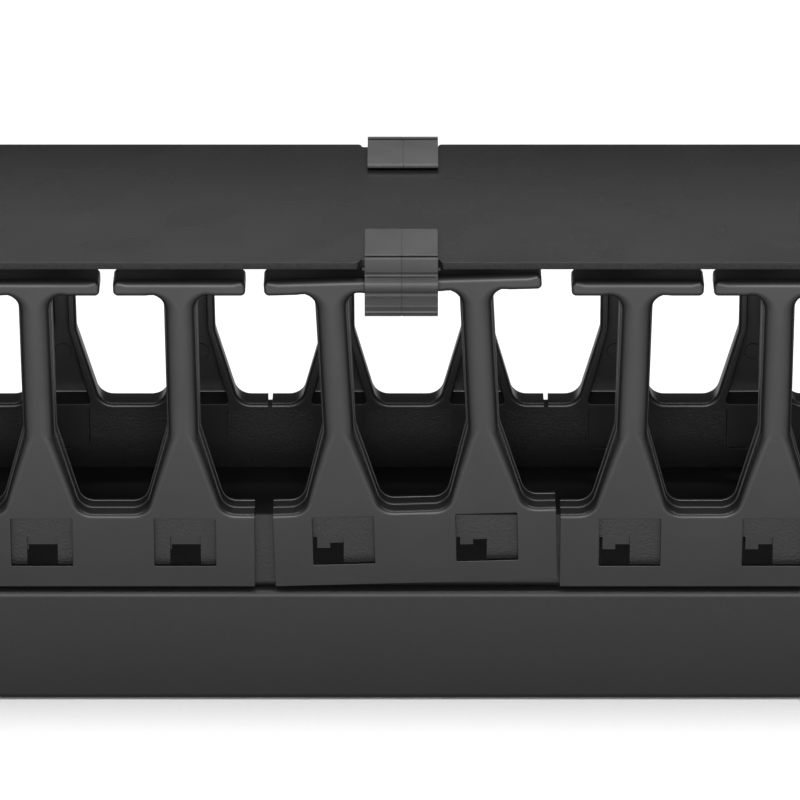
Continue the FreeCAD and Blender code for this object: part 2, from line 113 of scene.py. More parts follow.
def flat_patch(loops, place):
    """Triangles between an outer loop and its holes, put in space by place(first, second)."""
    points = np.concatenate(loops)
    triangles = tessellate_polygon([np.c_[loop, np.zeros(len(loop))].tolist() for loop in loops])
    return place(points[:, 0], points[:, 1]), [list(corner) for corner in triangles]


def at_depth(depth):
    """Places (across, up) points in the plane of that depth."""
    return lambda across, up: np.stack([across, np.full_like(across, depth), up], axis=1)


def at_height(height):
    """Places (across, depth) points in the level plane of that height."""
    return lambda across, deep: np.stack([across, deep, np.full_like(across, height)], axis=1)


def at_station(across):
    """Places (depth, up) points in the end plane of that place along the piece."""
    return lambda deep, up: np.stack([np.full_like(deep, across), deep, up], axis=1)


# %% [markdown]
# ## One closed skin
# A moulding has no open seams. Patches that share a border are merged there, all faces are turned
# outwards, and shading stays smooth except over true edges. Printing the number of open edges shows at
# once when two borders don't meet.

# %% Weld patches into one closed mesh
WELD_DISTANCE = 2e-6
SHARP_ANGLE = math.radians(32)


def weld(name, patches):
    """One mesh from all patches: shared borders merged, faces turned outwards, only true edges sharp."""
    shifts = np.cumsum([0] + [len(points) for points, _ in patches])
    points = np.concatenate([points for points, _ in patches]) * MM
    faces = [[corner + shift for corner in face]
             for (_, each), shift in zip(patches, shifts) for face in each]
    mesh = bpy.data.meshes.new(name)
    mesh.from_pydata(points.tolist(), [], faces)
    skin = bmesh.new()
    skin.from_mesh(mesh)
    bmesh.ops.remove_doubles(skin, verts=skin.verts, dist=WELD_DISTANCE)
    bmesh.ops.dissolve_degenerate(skin, edges=skin.edges, dist=WELD_DISTANCE / 2)
    bmesh.ops.recalc_face_normals(skin, faces=skin.faces)
    loose = sum(len(edge.link_faces) != 2 for edge in skin.edges)
    skin.to_mesh(mesh)
    skin.free()
    mesh.polygons.foreach_set("use_smooth", np.ones(len(mesh.polygons), bool))
    mesh.set_sharp_from_angle(angle=SHARP_ANGLE)
    print(f"{name}: {len(mesh.polygons)} faces, {loose} edges not shared by two faces")
    return mesh


def stand(name, mesh, body, node, finish):
    """A finished piece at the origin that rides on a body and stands for one CAD node."""
    piece = bpy.data.objects.new(name, mesh)
    bpy.context.scene.collection.objects.link(piece)
    mesh.materials.clear()
    mesh.materials.append(FINISHES[finish])
    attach(piece, body)
    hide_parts(node)


# %% [markdown]
# ## Finishes
# A finish is built from a few small node groups. Each is a noise in the piece's own coordinates that
# varies the colour and the gloss a little and raises a bump, at the size of grain that the real finish
# has. An image texture would also do, but noise needs no unwrapping and never repeats.

# %% Node helpers
def new_finish(name):
    """An empty node material with its shader, and its noise coordinates in millimetres."""
    material = bpy.data.materials.new(name)
    material.use_nodes = True
    nodes, links = material.node_tree.nodes, material.node_tree.links
    shader = nodes["Principled BSDF"]
    where = nodes.new("ShaderNodeTexCoord")
    scale = nodes.new("ShaderNodeMapping")
    scale.inputs["Scale"].default_value = (1 / MM,) * 3
    links.new(where.outputs["Object"], scale.inputs["Vector"])
    return material, nodes, links, shader, scale.outputs["Vector"]


def noise(nodes, links, place, grain, detail=2.0, rough=0.5):
    """Noise whose patches are about grain millimetres across."""
    node = nodes.new("ShaderNodeTexNoise")
    node.inputs["Scale"].default_value = 1 / grain
    node.inputs["Detail"].default_value = detail
    node.inputs["Roughness"].default_value = rough
    links.new(place, node.inputs["Vector"])
    return node.outputs["Fac"]


def spread(nodes, links, source, low, high, floor=0.35, ceiling=0.65):
    """The source's middle range stretched to run from low to high."""
    node = nodes.new("ShaderNodeMapRange")
    for name, number in (("From Min", floor), ("From Max", ceiling), ("To Min", low), ("To Max", high)):
        node.inputs[name].default_value = number
    links.new(source, node.inputs["Value"])
    return node.outputs["Result"]


def tint(nodes, links, factor, dark, light):
    """A colour that goes from dark to light with the factor."""
    ramp = nodes.new("ShaderNodeValToRGB")
    for stop, grey in zip(ramp.color_ramp.elements, (dark, light)):
        stop.color = (*grey, 1)
    links.new(factor, ramp.inputs["Fac"])
    return ramp.outputs["Color"]


def raise_bumps(nodes, links, shader, layers):
    """Bumps on the shader, each layer a (height source, height in millimetres, strength) triple."""
    normal = None
    for source, height, strength in layers:
        bump = nodes.new("ShaderNodeBump")
        bump.inputs["Distance"].default_value = height * MM
        bump.inputs["Strength"].default_value = strength
        links.new(source, bump.inputs["Height"])
        if normal:
            links.new(normal, bump.inputs["Normal"])
        normal = bump.outputs["Normal"]
    links.new(normal, shader.inputs["Normal"])


# %% [markdown]
# ## Four paints and two plastics
# The cover and the mounting channel have a fine satin powder coat, and the duct a coarser one that looks
# like orange peel. The coat lies thin and dull over the cut edge of the cover. The fingers are satin
# black plastic, and the clips are a slightly greyer one.

# %% The six finishes
PAINT_DETAIL, PAINT_ROUGH, PAINT_STRENGTH = 3.0, 0.6, 0.6
CLOUD_SIZE, GLOSS_WANDER = 30.0, 0.02
PEEL_DETAIL, PEEL_RISE, PEEL_STRENGTH = 1.0, 2, 0.5
SPARK_GRAIN, SPARK_HEIGHT, SPARK_STRENGTH = 0.35, 0.012, 0.35
FLOW_SIZE, FLOW_DETAIL, FLOW_ROUGH = 18.0, 3.0, 0.55


def paint(name, dark, light, gloss, grain, height, peel=None, shine=0.5):
    """Powder coat: a grain that pits the surface, and for a coarse coat a wider orange peel under it."""
    material, nodes, links, shader, place = new_finish(name)
    fine = noise(nodes, links, place, grain, PAINT_DETAIL, PAINT_ROUGH)
    cloud = noise(nodes, links, place, CLOUD_SIZE)
    colour = tint(nodes, links, spread(nodes, links, fine, 0, 1), dark, light)
    roughness = spread(nodes, links, cloud, gloss - GLOSS_WANDER, gloss + GLOSS_WANDER)
    links.new(colour, shader.inputs["Base Color"])
    links.new(roughness, shader.inputs["Roughness"])
    layers = [(fine, height, PAINT_STRENGTH)]
    if peel:
        wide = noise(nodes, links, place, peel, PEEL_DETAIL)
        layers.append((wide, PEEL_RISE * height, PEEL_STRENGTH))
    raise_bumps(nodes, links, shader, layers)
    shader.inputs["Specular IOR Level"].default_value = shine
    return material


def plastic(name, dark, light, gloss, shine=0.5):
    """Moulded plastic: a faint spark-eroded grain, soft flow marks and a gloss that wanders."""
    material, nodes, links, shader, place = new_finish(name)
    grain = noise(nodes, links, place, SPARK_GRAIN)
    flow = noise(nodes, links, place, FLOW_SIZE, FLOW_DETAIL, FLOW_ROUGH)
    colour = tint(nodes, links, spread(nodes, links, flow, 0, 1), dark, light)
    roughness = spread(nodes, links, flow, gloss + GLOSS_WANDER, gloss - GLOSS_WANDER)
    links.new(colour, shader.inputs["Base Color"])
    links.new(roughness, shader.inputs["Roughness"])
    raise_bumps(nodes, links, shader, [(grain, SPARK_HEIGHT, SPARK_STRENGTH)])
    shader.inputs["Specular IOR Level"].default_value = shine
    return material


def grey(level):
    """A neutral colour of that level."""
    return (level, level, level)


# Paint: darkest and lightest colour, roughness, grain and its height in millimetres, and where given the
# size of the orange peel; plastic: colours, roughness, and where given the strength of the reflection
FINISHES = {
    "channel_coat": paint("channel_coat", grey(0.012), grey(0.020), 0.49, 0.30, 0.03),
    "duct_coat": paint("duct_coat", grey(0.008), grey(0.018), 0.46, 0.40, 0.07, 0.8),
    "cover_coat": paint("cover_coat", grey(0.006), grey(0.010), 0.27, 0.28, 0.03),
    "cut_edge": paint("cut_edge", grey(0.002), grey(0.03), 0.5, 0.45, 0.08, shine=0.26),
    "finger_plastic": plastic("finger_plastic", grey(0.012), grey(0.018), 0.38),
    "clip_plastic": plastic("clip_plastic", grey(0.054), grey(0.066), 0.40, 0.32),
}
print("finishes:", ", ".join(FINISHES))

# %% [markdown]
# ## The finger segment's outline
# One moulding carries two fingers. Seen from the front it is a band with a saddle over the duct wall, two
# flared posts, and a bar on each post, or one bar over both where a clip grips it. The outline along the
# top is an open path from end to end; a bridged segment has a closed one as well, round its opening. A
# plain extrusion with a bevel would round every edge alike, so each corner says how wide its edge is.

# %% Outline of a segment, from its left end to its right
RACK_UNIT = 44.45
SEGMENT_HALF = 43.75
POST = RACK_UNIT / 2
POST_HALF = 5.2
THROAT, FLARE_TOP = 64.1, 89.6
BAR_FOOT, BAR_TOP = 136.0, 141.2
THROAT_NEAR, THROAT_FAR = 9.8, 34.65
BAR_HALF = 20.2
THROAT_RADIUS, KINK_RADIUS, FILLET_RADIUS, BAR_RADIUS = 5.0, 6.0, 5.2, 1.6
SADDLE_EDGE, FLARE_EDGE, KINK_EDGE, POST_EDGE = 2.1, 2.5, 3.6, 4.8
BAR_FOOT_EDGE, BAR_TOP_EDGE, BAR_END_EDGE, BAR_RAMP = 1.5, 2.3, 1.2, 4.0

near, far = POST - POST_HALF, POST + POST_HALF
bar_near, bar_far = POST - BAR_HALF, POST + BAR_HALF
# Each corner: across, up, radius, and the width of the rounded front edge before and after it
end = [(-SEGMENT_HALF, THROAT, 0, SADDLE_EDGE, SADDLE_EDGE)]
outer_side = [
    (-THROAT_FAR, THROAT, THROAT_RADIUS, SADDLE_EDGE, FLARE_EDGE),
    (-far, FLARE_TOP, KINK_RADIUS, KINK_EDGE, POST_EDGE),
    (-far, BAR_FOOT, FILLET_RADIUS, POST_EDGE, BAR_FOOT_EDGE),
    (-bar_far, BAR_FOOT, BAR_RADIUS, BAR_FOOT_EDGE, BAR_END_EDGE),
    (-bar_far, BAR_TOP, BAR_RADIUS, BAR_END_EDGE, BAR_FOOT_EDGE),
    (BAR_RAMP - bar_far, BAR_TOP, 0, BAR_TOP_EDGE, BAR_TOP_EDGE),
]
inner_side = [
    (-bar_near - BAR_RAMP, BAR_TOP, 0, BAR_TOP_EDGE, BAR_TOP_EDGE),
    (-bar_near, BAR_TOP, BAR_RADIUS, BAR_FOOT_EDGE, BAR_END_EDGE),
    (-bar_near, BAR_FOOT, BAR_RADIUS, BAR_END_EDGE, BAR_FOOT_EDGE),
    (-near, BAR_FOOT, FILLET_RADIUS, BAR_FOOT_EDGE, POST_EDGE),
    (-near, FLARE_TOP, KINK_RADIUS, POST_EDGE, KINK_EDGE),
    (-THROAT_NEAR, THROAT, THROAT_RADIUS, FLARE_EDGE, SADDLE_EDGE),
]


def mirrored(corners):
    """The same corners on the other side, in the order that carries the path on."""
    return [(-across, up, radius, after, before) for across, up, radius, before, after in reversed(corners)]


def outline(corners, closed):
    """A rounded path from rows of across, up, radius and edge widths."""
    table = np.array(corners)
    return rounded_path(table[:, :2], table[:, 2], closed, table[:, 3:])


def segment_outlines(bridged):
    """The open path along the top, and the closed ones round openings, material on the right hand."""
    if bridged:
        loop = mirrored(inner_side[3:]) + inner_side[3:]
        return outline(end + outer_side + mirrored(end + outer_side), False), [outline(loop, True)]
    half = end + outer_side + inner_side
    return outline(half + mirrored(half), False), []


print("outline points:", len(segment_outlines(False)[0][0]), "and", len(segment_outlines(True)[0][0]))

# %% [markdown]
# ## The rim profile
# The two halves of the mould meet half way through the moulding's depth, and the rear half is a little
# larger, so a fine step runs round every opening and catches the light; a finer one runs near the back.
# The front edge is rounded so widely that the posts are crowned, and the back edge only a little.
# Carrying this profile along the outline gives all of them in one surface.

# %% Profile of the rim through the depth of the moulding
DEPTH, SKIN = 11.5, 3.0
EDGE_STEPS, EDGE_DEPTH = 9, 3.0
STEP, STEP_DEPTH, STEP_RUN, STEP_EASE, STEP_FADE = 0.42, 5.05, 0.12, 0.25, 0.5
LEDGE, LEDGE_DEPTH, LEDGE_RUN = 0.25, 9.6, 0.06
BACK_RADIUS = 1.3
SUPPORT = 0.12


def rim_profile(up, edge):
    """Inset and depth at each step, for each local height and width of the front edge: a quarter ellipse
    from the front face in to the step, the step and the ledge out to the full outline, each a slope that
    eases off at its top, and a quarter circle at the back. Step and ledge fade out under the bars."""
    turn = np.linspace(0, np.pi / 2, EDGE_STEPS)
    same = np.ones((len(edge), 1))
    fade = np.clip((BAR_FOOT - up) / STEP_FADE, 0, 1)[:, None]
    step, ledge = STEP * fade, LEDGE * fade
    width = edge[:, None] - step - ledge
    back = BACK_RADIUS * (1 - np.cos(turn))
    insets = np.concatenate(
        [edge[:, None] + SUPPORT, step + ledge + width * (1 - np.sin(turn)), step + ledge,
         step * STEP_EASE + ledge, ledge, ledge, ledge * STEP_EASE, same * back,
         same * (back[-1] + SUPPORT)],
        axis=1)
    depths = np.concatenate(
        [same * 0, np.minimum(width, EDGE_DEPTH) * (1 - np.cos(turn)), same * STEP_DEPTH,
         same * (STEP_DEPTH + STEP_RUN), same * (STEP_DEPTH + 2 * STEP_RUN), same * LEDGE_DEPTH,
         same * (LEDGE_DEPTH + LEDGE_RUN), same * (DEPTH - BACK_RADIUS * (1 - np.sin(turn))), same * DEPTH],
        axis=1)
    return insets, depths


# %% [markdown]
# ## Windows, hollows and tabs
# The band has a window at each post, where the square holes of the duct show. The back of each post is
# hollow, to keep the wall even, and has the round mark of an ejector pin. Behind the duct wall hangs a
# stepped tab. Booleans could cut all this, but they leave long thin faces that shade badly, so each
# opening is a closed path with its own small profile through the depth.

# %% Openings of the segment
BAND_FOOT, WALL_TOP = 39.0, 62.0
WINDOW_HALF, WINDOW_FOOT, WINDOW_TOP, WINDOW_RADIUS = 9.6, 45.85, 61.9, 0.5
MOUTH_EASE, EASE_MIDDLE = 0.08, 0.025
LIP_DEPTH, LIP_RUN, POCKET_FALL = 0.25, 0.1, 5.0
HOLLOW_FOOT, HOLLOW_TOP, HOLLOW_HALF, HOLLOW_FOOT_HALF, HOLLOW_DEPTH = 64.2, 133.8, 2.6, 8.8, 2.5
HOLLOW_FOOT_RADIUS, HOLLOW_TOP_RADIUS = 0.9, 1.3
PIN_HEIGHT, PIN_RADIUS, PIN_STEP, PIN_EASE = 78.8, 2.75, 0.3, 0.22
TAB_HALF, TAB_STEP, TAB_FRONT, TAB_RECESS = 8.3, -4.3, 4.7, 10.2
TAB_FOOT, TAB_SIDE_FOOT, NUB_FOOT = 48.9, 49.5, 51.2
CIRCLE_STEPS = 40

mouth_insets = np.array([MOUTH_EASE + SUPPORT, MOUTH_EASE, EASE_MIDDLE, 0, 0, 0, 0])
mouth_depths = np.array([0, 0, EASE_MIDDLE, MOUTH_EASE, LIP_DEPTH, LIP_DEPTH + LIP_RUN, SKIN])
# A hollow from the back: rounded mouth, drafted wall, rounded floor
hollow_insets = np.array([0.72, 0.6, 0.27, 0.08, 0, -0.15, -0.35, -0.75, -0.87])
hollow_depths = np.array([0, 0, 0.06, 0.25, 0.6, 8.3, 8.85, 9.0, 9.0])


def window_wall(middle):
    """The walls of the window at one post: its outline through the skin, the sill a lip over a pocket."""
    left, right = middle - WINDOW_HALF, middle + WINDOW_HALF
    corners = [(left, WINDOW_FOOT), (right, WINDOW_FOOT), (right, WINDOW_TOP), (left, WINDOW_TOP)]
    wall = carry(*rounded_path(corners, [WINDOW_RADIUS] * 4)[:2], mouth_insets, mouth_depths)
    sill = wall[:, :, 2] < WINDOW_FOOT + WINDOW_RADIUS + mouth_insets[0]
    wall[:, :, 2] -= POCKET_FALL * sill * (wall[:, :, 1] > LIP_DEPTH)
    return wall


def hollow_path(middle):
    """The hollow in the back of one post: wide at the foot, narrow up the post."""
    right = [(HOLLOW_FOOT_HALF, HOLLOW_FOOT), (HOLLOW_HALF, FLARE_TOP), (HOLLOW_HALF, HOLLOW_TOP)]
    left = [(-across, up) for across, up in reversed(right)]
    corners = np.array(left[-1:] + right + left[:-1]) + (middle, 0)
    radii = [HOLLOW_FOOT_RADIUS] * 2 + [KINK_RADIUS] + [HOLLOW_TOP_RADIUS] * 2 + [KINK_RADIUS]
    return rounded_path(corners, radii)


def circle(middle, height, radius):
    """Evenly spaced points round a circle."""
    angle = np.linspace(0, 2 * np.pi, CIRCLE_STEPS, endpoint=False)
    return np.stack([middle + radius * np.cos(angle), height + radius * np.sin(angle)], axis=1)


def tab_corners(middle, foot):
    """The tab's outline below the saddle, its left-hand side shorter, from the right-hand root round."""
    right, step, left = middle + TAB_HALF, middle + TAB_STEP, middle - TAB_HALF
    return np.array([(right, WALL_TOP), (right, foot), (step, foot), (step, TAB_SIDE_FOOT),
                     (left, TAB_SIDE_FOOT), (left, WALL_TOP)])


def tab_patches(middle):
    """The tab: a nub behind the square hole of the duct, and a thinner foot set back under it."""
    right, step, left = middle + TAB_HALF, middle + TAB_STEP, middle - TAB_HALF
    recess = [(right, NUB_FOOT), (right, TAB_FOOT), (step, TAB_FOOT), (step, TAB_SIDE_FOOT),
              (step, NUB_FOOT)]
    long_side = [(TAB_FRONT, WALL_TOP), (TAB_FRONT, NUB_FOOT), (TAB_RECESS, NUB_FOOT),
                 (TAB_RECESS, TAB_FOOT), (DEPTH, TAB_FOOT), (DEPTH, WALL_TOP)]
    short_side = [(TAB_FRONT, WALL_TOP), (TAB_FRONT, TAB_SIDE_FOOT), (DEPTH, TAB_SIDE_FOOT),
                  (DEPTH, WALL_TOP)]
    step_low = [(TAB_RECESS, TAB_FOOT), (DEPTH, TAB_FOOT), (DEPTH, TAB_SIDE_FOOT),
                (TAB_RECESS, TAB_SIDE_FOOT)]
    step_high = [(TAB_FRONT, TAB_SIDE_FOOT), (TAB_RECESS, TAB_SIDE_FOOT), (TAB_RECESS, NUB_FOOT),
                 (TAB_FRONT, NUB_FOOT)]
    nub_under = [(step, TAB_FRONT), (right, TAB_FRONT), (right, TAB_RECESS), (step, TAB_RECESS)]
    foot_under = [(step, TAB_RECESS), (right, TAB_RECESS), (right, DEPTH), (step, DEPTH)]
    side_under = [(left, TAB_FRONT), (step, TAB_FRONT), (step, TAB_RECESS), (step, DEPTH), (left, DEPTH)]
    return [
        flat_patch([tab_corners(middle, NUB_FOOT)], at_depth(TAB_FRONT)),
        flat_patch([np.array(recess)], at_depth(TAB_RECESS)),
        flat_patch([np.array(long_side)], at_station(right)),
        flat_patch([np.array(short_side)], at_station(left)),
        flat_patch([np.array(step_low)], at_station(step)),
        flat_patch([np.array(step_high)], at_station(step)),
        flat_patch([np.array(nub_under)], at_height(NUB_FOOT)),
        flat_patch([np.array(foot_under)], at_height(TAB_FOOT)),
        flat_patch([np.array(side_under)], at_height(TAB_SIDE_FOOT)),
    ]


# %% [markdown]
# ## A whole segment
# The flat faces are filled last: each is an outer loop made of the rims' borders, with the windows or
# hollows as holes in it. The mesh is welded once for a plain segment and once for a bridged one.

# %% All patches of a segment
def opening_patches(middle):
    """Window walls, hollow walls, hollow floor with its pin mark, and the tab, for one post."""
    hollow = hollow_path(middle)
    floor = carry(hollow[0], hollow[1], hollow_insets[-1:], 0)[:, 0][:, [0, 2]]
    ring = circle(middle, PIN_HEIGHT, PIN_RADIUS)
    disc = circle(middle, PIN_HEIGHT, PIN_RADIUS - PIN_EASE)
    pin = np.stack([at_depth(depth)(*loop.T) for depth, loop in
                    ((HOLLOW_DEPTH, ring), (HOLLOW_DEPTH + PIN_STEP, disc))], axis=1)
    return [
        grid_patch(window_wall(middle), True),
        grid_patch(carry(hollow[0], hollow[1], hollow_insets, DEPTH - hollow_depths), True),
        flat_patch([floor, ring], at_depth(HOLLOW_DEPTH)),
        grid_patch(pin, True),
        flat_patch([disc], at_depth(HOLLOW_DEPTH + PIN_STEP)),
    ] + tab_patches(middle)


def edge_loop(path, column):
    """The border of a rim at one column of its grid, as (across, up) points."""
    return path[:, column][:, [0, 2]]


def segment_patches(bridged):
    """Rims along the outlines, the flat front and back between them, ends, underside and openings."""
    top, holes = segment_outlines(bridged)
    rims = [carry(points, normals, *rim_profile(points[:, 1], edge))
            for points, normals, edge in [top] + holes]
    windows = [window_wall(side * POST) for side in (-1, 1)]
    hollows = [carry(*hollow_path(side * POST)[:2], hollow_insets, hollow_depths) for side in (-1, 1)]
    tabs = np.concatenate([tab_corners(POST, TAB_FOOT), tab_corners(-POST, TAB_FOOT)])
    foot = np.array([(SEGMENT_HALF, BAND_FOOT), (-SEGMENT_HALF, BAND_FOOT)])
    ledge = np.array([(SEGMENT_HALF, WALL_TOP), (-SEGMENT_HALF, WALL_TOP)])
    front = [np.concatenate([edge_loop(rims[0], 0), foot])] + [edge_loop(rim, 0) for rim in rims[1:]]
    back = [np.concatenate([edge_loop(rims[0], -1), ledge[:1], tabs, ledge[1:]])]
    back += [edge_loop(rim, -1) for rim in rims[1:]]
    under = [(-SEGMENT_HALF, SKIN), (SEGMENT_HALF, SKIN), (SEGMENT_HALF, DEPTH)]
    for middle in (POST, -POST):
        right, left = middle + TAB_HALF, middle - TAB_HALF
        under += [(right, DEPTH), (right, TAB_FRONT), (left, TAB_FRONT), (left, DEPTH)]
    under.append((-SEGMENT_HALF, DEPTH))
    front += [edge_loop(window, 0) for window in windows]
    back += [edge_loop(hollow, 0) for hollow in hollows]
    behind_skin = [np.concatenate([ledge, foot[::-1]])] + [edge_loop(window, -1) for window in windows]
    sole = [(-SEGMENT_HALF, 0), (SEGMENT_HALF, 0), (SEGMENT_HALF, SKIN), (-SEGMENT_HALF, SKIN)]
    patches = [grid_patch(rims[0], False)] + [grid_patch(rim, True) for rim in rims[1:]]
    patches += [
        flat_patch(front, at_depth(0)),
        flat_patch(back, at_depth(DEPTH)),
        flat_patch(behind_skin, at_depth(SKIN)),
        flat_patch([np.array(under)], at_height(WALL_TOP)),
        flat_patch([np.array(sole)], at_height(BAND_FOOT)),
    ]
    for station, row in ((-SEGMENT_HALF, rims[0][0]), (SEGMENT_HALF, rims[0][-1])):
        foot_corners = [(DEPTH, WALL_TOP), (SKIN, WALL_TOP), (SKIN, BAND_FOOT), (0, BAND_FOOT)]
        patches.append(flat_patch([np.concatenate([row[:, 1:], foot_corners])], at_station(station)))
    for middle in (POST, -POST):
        patches += opening_patches(middle)
    return patches


segment_meshes = {bridged: weld("bridged" if bridged else "plain", segment_patches(bridged))
                  for bridged in (False, True)}

# %% [markdown]
# ## Two rows of fingers
# The same moulding stands nine times along each side. On the real object the segments have slid a little
# along the duct, the middle one of the front row leans, and some posts have flexed. An array modifier
# would make them all alike, so the welded mesh is copied and its points are moved, which also keeps every
# object at the origin.

# %% Put the segments in their places
FINGER_FACE = 48.75
SEGMENT_PITCH = 2 * RACK_UNIT
SEGMENT_COUNT, MIDDLE, CLIP_SPACING = 9, 4, 3
FRONT_SLIDE, MIDDLE_SLIDE, REAR_SLIDE = 4.6, 4.5, 2.6
LEAN = math.radians(1.6)
FLEX_CURVE = 1.5
# How far the bars have flexed along the duct: the posts at the left and right of each front segment, and
# each rear segment as a whole
FRONT_FLEX, REAR_FLEX = np.zeros((SEGMENT_COUNT, 2)), np.zeros(SEGMENT_COUNT)
FRONT_FLEX[3:6] = [(-0.9, -0.8), (-1.6, -1.6), (1.4, 0.3)]
REAR_FLEX[3:5] = [-1.1, -0.4]


def flexed(up):
    """The share of the flex at each height: the height above the throat over the height of the bar's top
    above it, to a power, so that it grows faster and faster from none to all."""
    return np.clip((up - THROAT) / (BAR_TOP - THROAT), 0, 1) ** FLEX_CURVE


def place_front(points, number):
    """Along by the pitch, plus the slide; the middle one turned about the left end of its saddle."""
    across, deep, up = points.T
    across = across + np.where(across < 0, *FRONT_FLEX[number]) * flexed(up)
    if number == MIDDLE:
        out, rise = across + SEGMENT_HALF, up - WALL_TOP
        across = out * np.cos(LEAN) - rise * np.sin(LEAN) - SEGMENT_HALF + MIDDLE_SLIDE
        up = out * np.sin(LEAN) + rise * np.cos(LEAN) + WALL_TOP
    else:
        across = across + (number - MIDDLE) * SEGMENT_PITCH + FRONT_SLIDE * (number > MIDDLE)
    return np.stack([across, deep - FINGER_FACE, up], axis=1)


def place_rear(points, number):
    """Turned half round, along by the pitch, plus the slide."""
    across, deep, up = points.T
    across = (number - MIDDLE) * SEGMENT_PITCH + REAR_SLIDE + REAR_FLEX[number] * flexed(up) - across
    return np.stack([across, FINGER_FACE - deep, up], axis=1)


for number in range(SEGMENT_COUNT):
    template = segment_meshes[(number - MIDDLE) % CLIP_SPACING == 0]
    points = np.empty(len(template.vertices) * 3)
    template.vertices.foreach_get("co", points)
    for side, place in (("front", place_front), ("rear", place_rear)):
        mesh = template.copy()
        node = f"{side}_fingers_{number + 1}"
        mesh.vertices.foreach_set("co", place(points.reshape(-1, 3) / MM, number).ravel() * MM)
        mesh.update()
        stand(f"{side}_finger_moulding_{number + 1}", mesh, "base", node, "finger_plastic")
print("finger segments:", 2 * SEGMENT_COUNT)

# %% [markdown]
# ## The hinge clips
# Each clip is two plastic extrusions of constant section: a leaf that grips the cover and ends in a
# C-shaped socket, and a lever whose bead turns in it. The lever comes down outside the finger bar as a
# waist, a roll and a ribbed thumb grip. Drawing the section once, as a closed path, is how the maker of
# such a clip would draw it too.

# %% Sections of leaf and lever, as (outward, up) corners with radii
AXIS_OUT, AXIS_UP = 50.0, 148.6
BEAD, BORE, SOCKET, NECK = 0.8, 0.85, 1.5, math.radians(30)
MOUTH_LOW, MOUTH_HIGH = math.radians(-32), math.radians(125)
LIP_OUT, LIP_TOP, PLATE_TOP, PLATE_FOOT = 49.55, 150.2, 150.3, 148.95
COVER_FOOT, COVER_TOP = 146.4, 148.2
LEAF_SHEET, LEAF_END, JAW_END, WEB_IN = 1.6, 27.5, 36.8, 48.5
RIB_TURNS, RIB_WIDTH, RIB_HEIGHT = np.radians([8, 29, 48, 66]), math.radians(2.6), 0.5
GRIP_MIDDLE, GRIP_UP, GRIP_CURL, GRIP_DROP, GRIP_WALL = 49.4, 138.5, 2.9, 8.5, 1.8
ROLL_OUT, ROLL_UP, ROLL, ROLL_FROM, ROLL_TO = 50.0, 141.0, 3.2, math.radians(-48), math.radians(50)
WAIST_OUT, WAIST_UP, WAIST, WAIST_FROM, WAIST_TO = 52.6, 144.5, 1.05, math.radians(242), math.radians(93)
LEVER_IN, LEVER_OUT, LEVER_TOP = 51.65, 52.55, 150.3
SHOULDER_OUT, SHOULDER_UP, HEEL_UP = 50.35, 146.0, 143.5
GRIP_INSIDE, GRIP_TIP = np.radians([40, 80]), np.radians([80])
SHOE_IN, SHOE_OUT, SHOE_RISE, SHOE_GAP, SHOE_RADIUS = 0.1, 0.9, 0.1, 0.65, 0.2
LEAF_RADII = [0.7, 0.25, 0.2, 0.2, 0.25, 0.5, 0.5]
LIP_RADIUS, ARC_POINT = 0.25, 0.004
LEVER_TOP_RADII = [0.4, 0.25, 0.2]
LEVER_SIDE_RADII = [0.2, 0.25, 0.4, 0.8, 0.5, 1.0, 1.0, 0.4, 0.4]
RIB_RADII, ROLL_FOOT_RADIUS, ROLL_POINT, WAIST_TOP_RADIUS = [0.1, 0.12, 0.1], 0.2, 0.1, 0.2
ARC_POINTS, BORE_POINTS, BEAD_POINTS, ROLL_POINTS, LEVER_STEPS = 14, 24, 26, 12, 5


def arc(out, up, radius, first, last, steps=ROLL_POINTS):
    """Points on an arc: its middle plus the radius times the cosine and sine of an evenly growing angle."""
    angle = np.linspace(first, last, steps)
    return np.stack([out + radius * np.cos(angle), up + radius * np.sin(angle)], axis=1)


def round_axis(radius, first, last, steps=ARC_POINTS):
    """Points on an arc round the hinge axis."""
    return arc(AXIS_OUT, AXIS_UP, radius, first, last, steps)


def on_grip(rise, turn):
    """Points on the thumb grip's quarter ellipse, raised off it."""
    turn = np.asarray(turn, float)
    return np.stack([GRIP_MIDDLE + (GRIP_CURL + rise) * np.cos(turn),
                     GRIP_UP - (GRIP_DROP + rise) * np.sin(turn)], axis=-1)


def leaf_section():
    """Plate over the cover, sprung up a little at its end, web through the notch, jaw under the cover,
    and the socket round the bead."""
    jaw_foot = COVER_FOOT - LEAF_SHEET
    outside = [(LEAF_END, PLATE_TOP), (LEAF_END, PLATE_FOOT), (WEB_IN, COVER_TOP), (WEB_IN, COVER_FOOT),
               (JAW_END, COVER_FOOT), (JAW_END, jaw_foot), (AXIS_OUT, jaw_foot)]
    socket = np.concatenate([round_axis(SOCKET, -np.pi / 2, MOUTH_LOW),
                             round_axis(BORE, MOUTH_LOW, MOUTH_HIGH - 2 * np.pi, BORE_POINTS),
                             [(LIP_OUT, LIP_TOP)]])
    corners = np.concatenate([outside, socket])
    return rounded_path(corners, LEAF_RADII + [ARC_POINT] * (len(socket) - 1) + [LIP_RADIUS])


def jaw_section():
    """The wider shoe of the jaw that closes the notch from below."""
    left, right = JAW_END + SHOE_IN, WEB_IN + SHOE_OUT
    foot, top = COVER_FOOT - LEAF_SHEET + SHOE_RISE, COVER_FOOT - SHOE_GAP
    return rounded_path([(left, top), (left, foot), (right, foot), (right, top)], [SHOE_RADIUS] * 4)


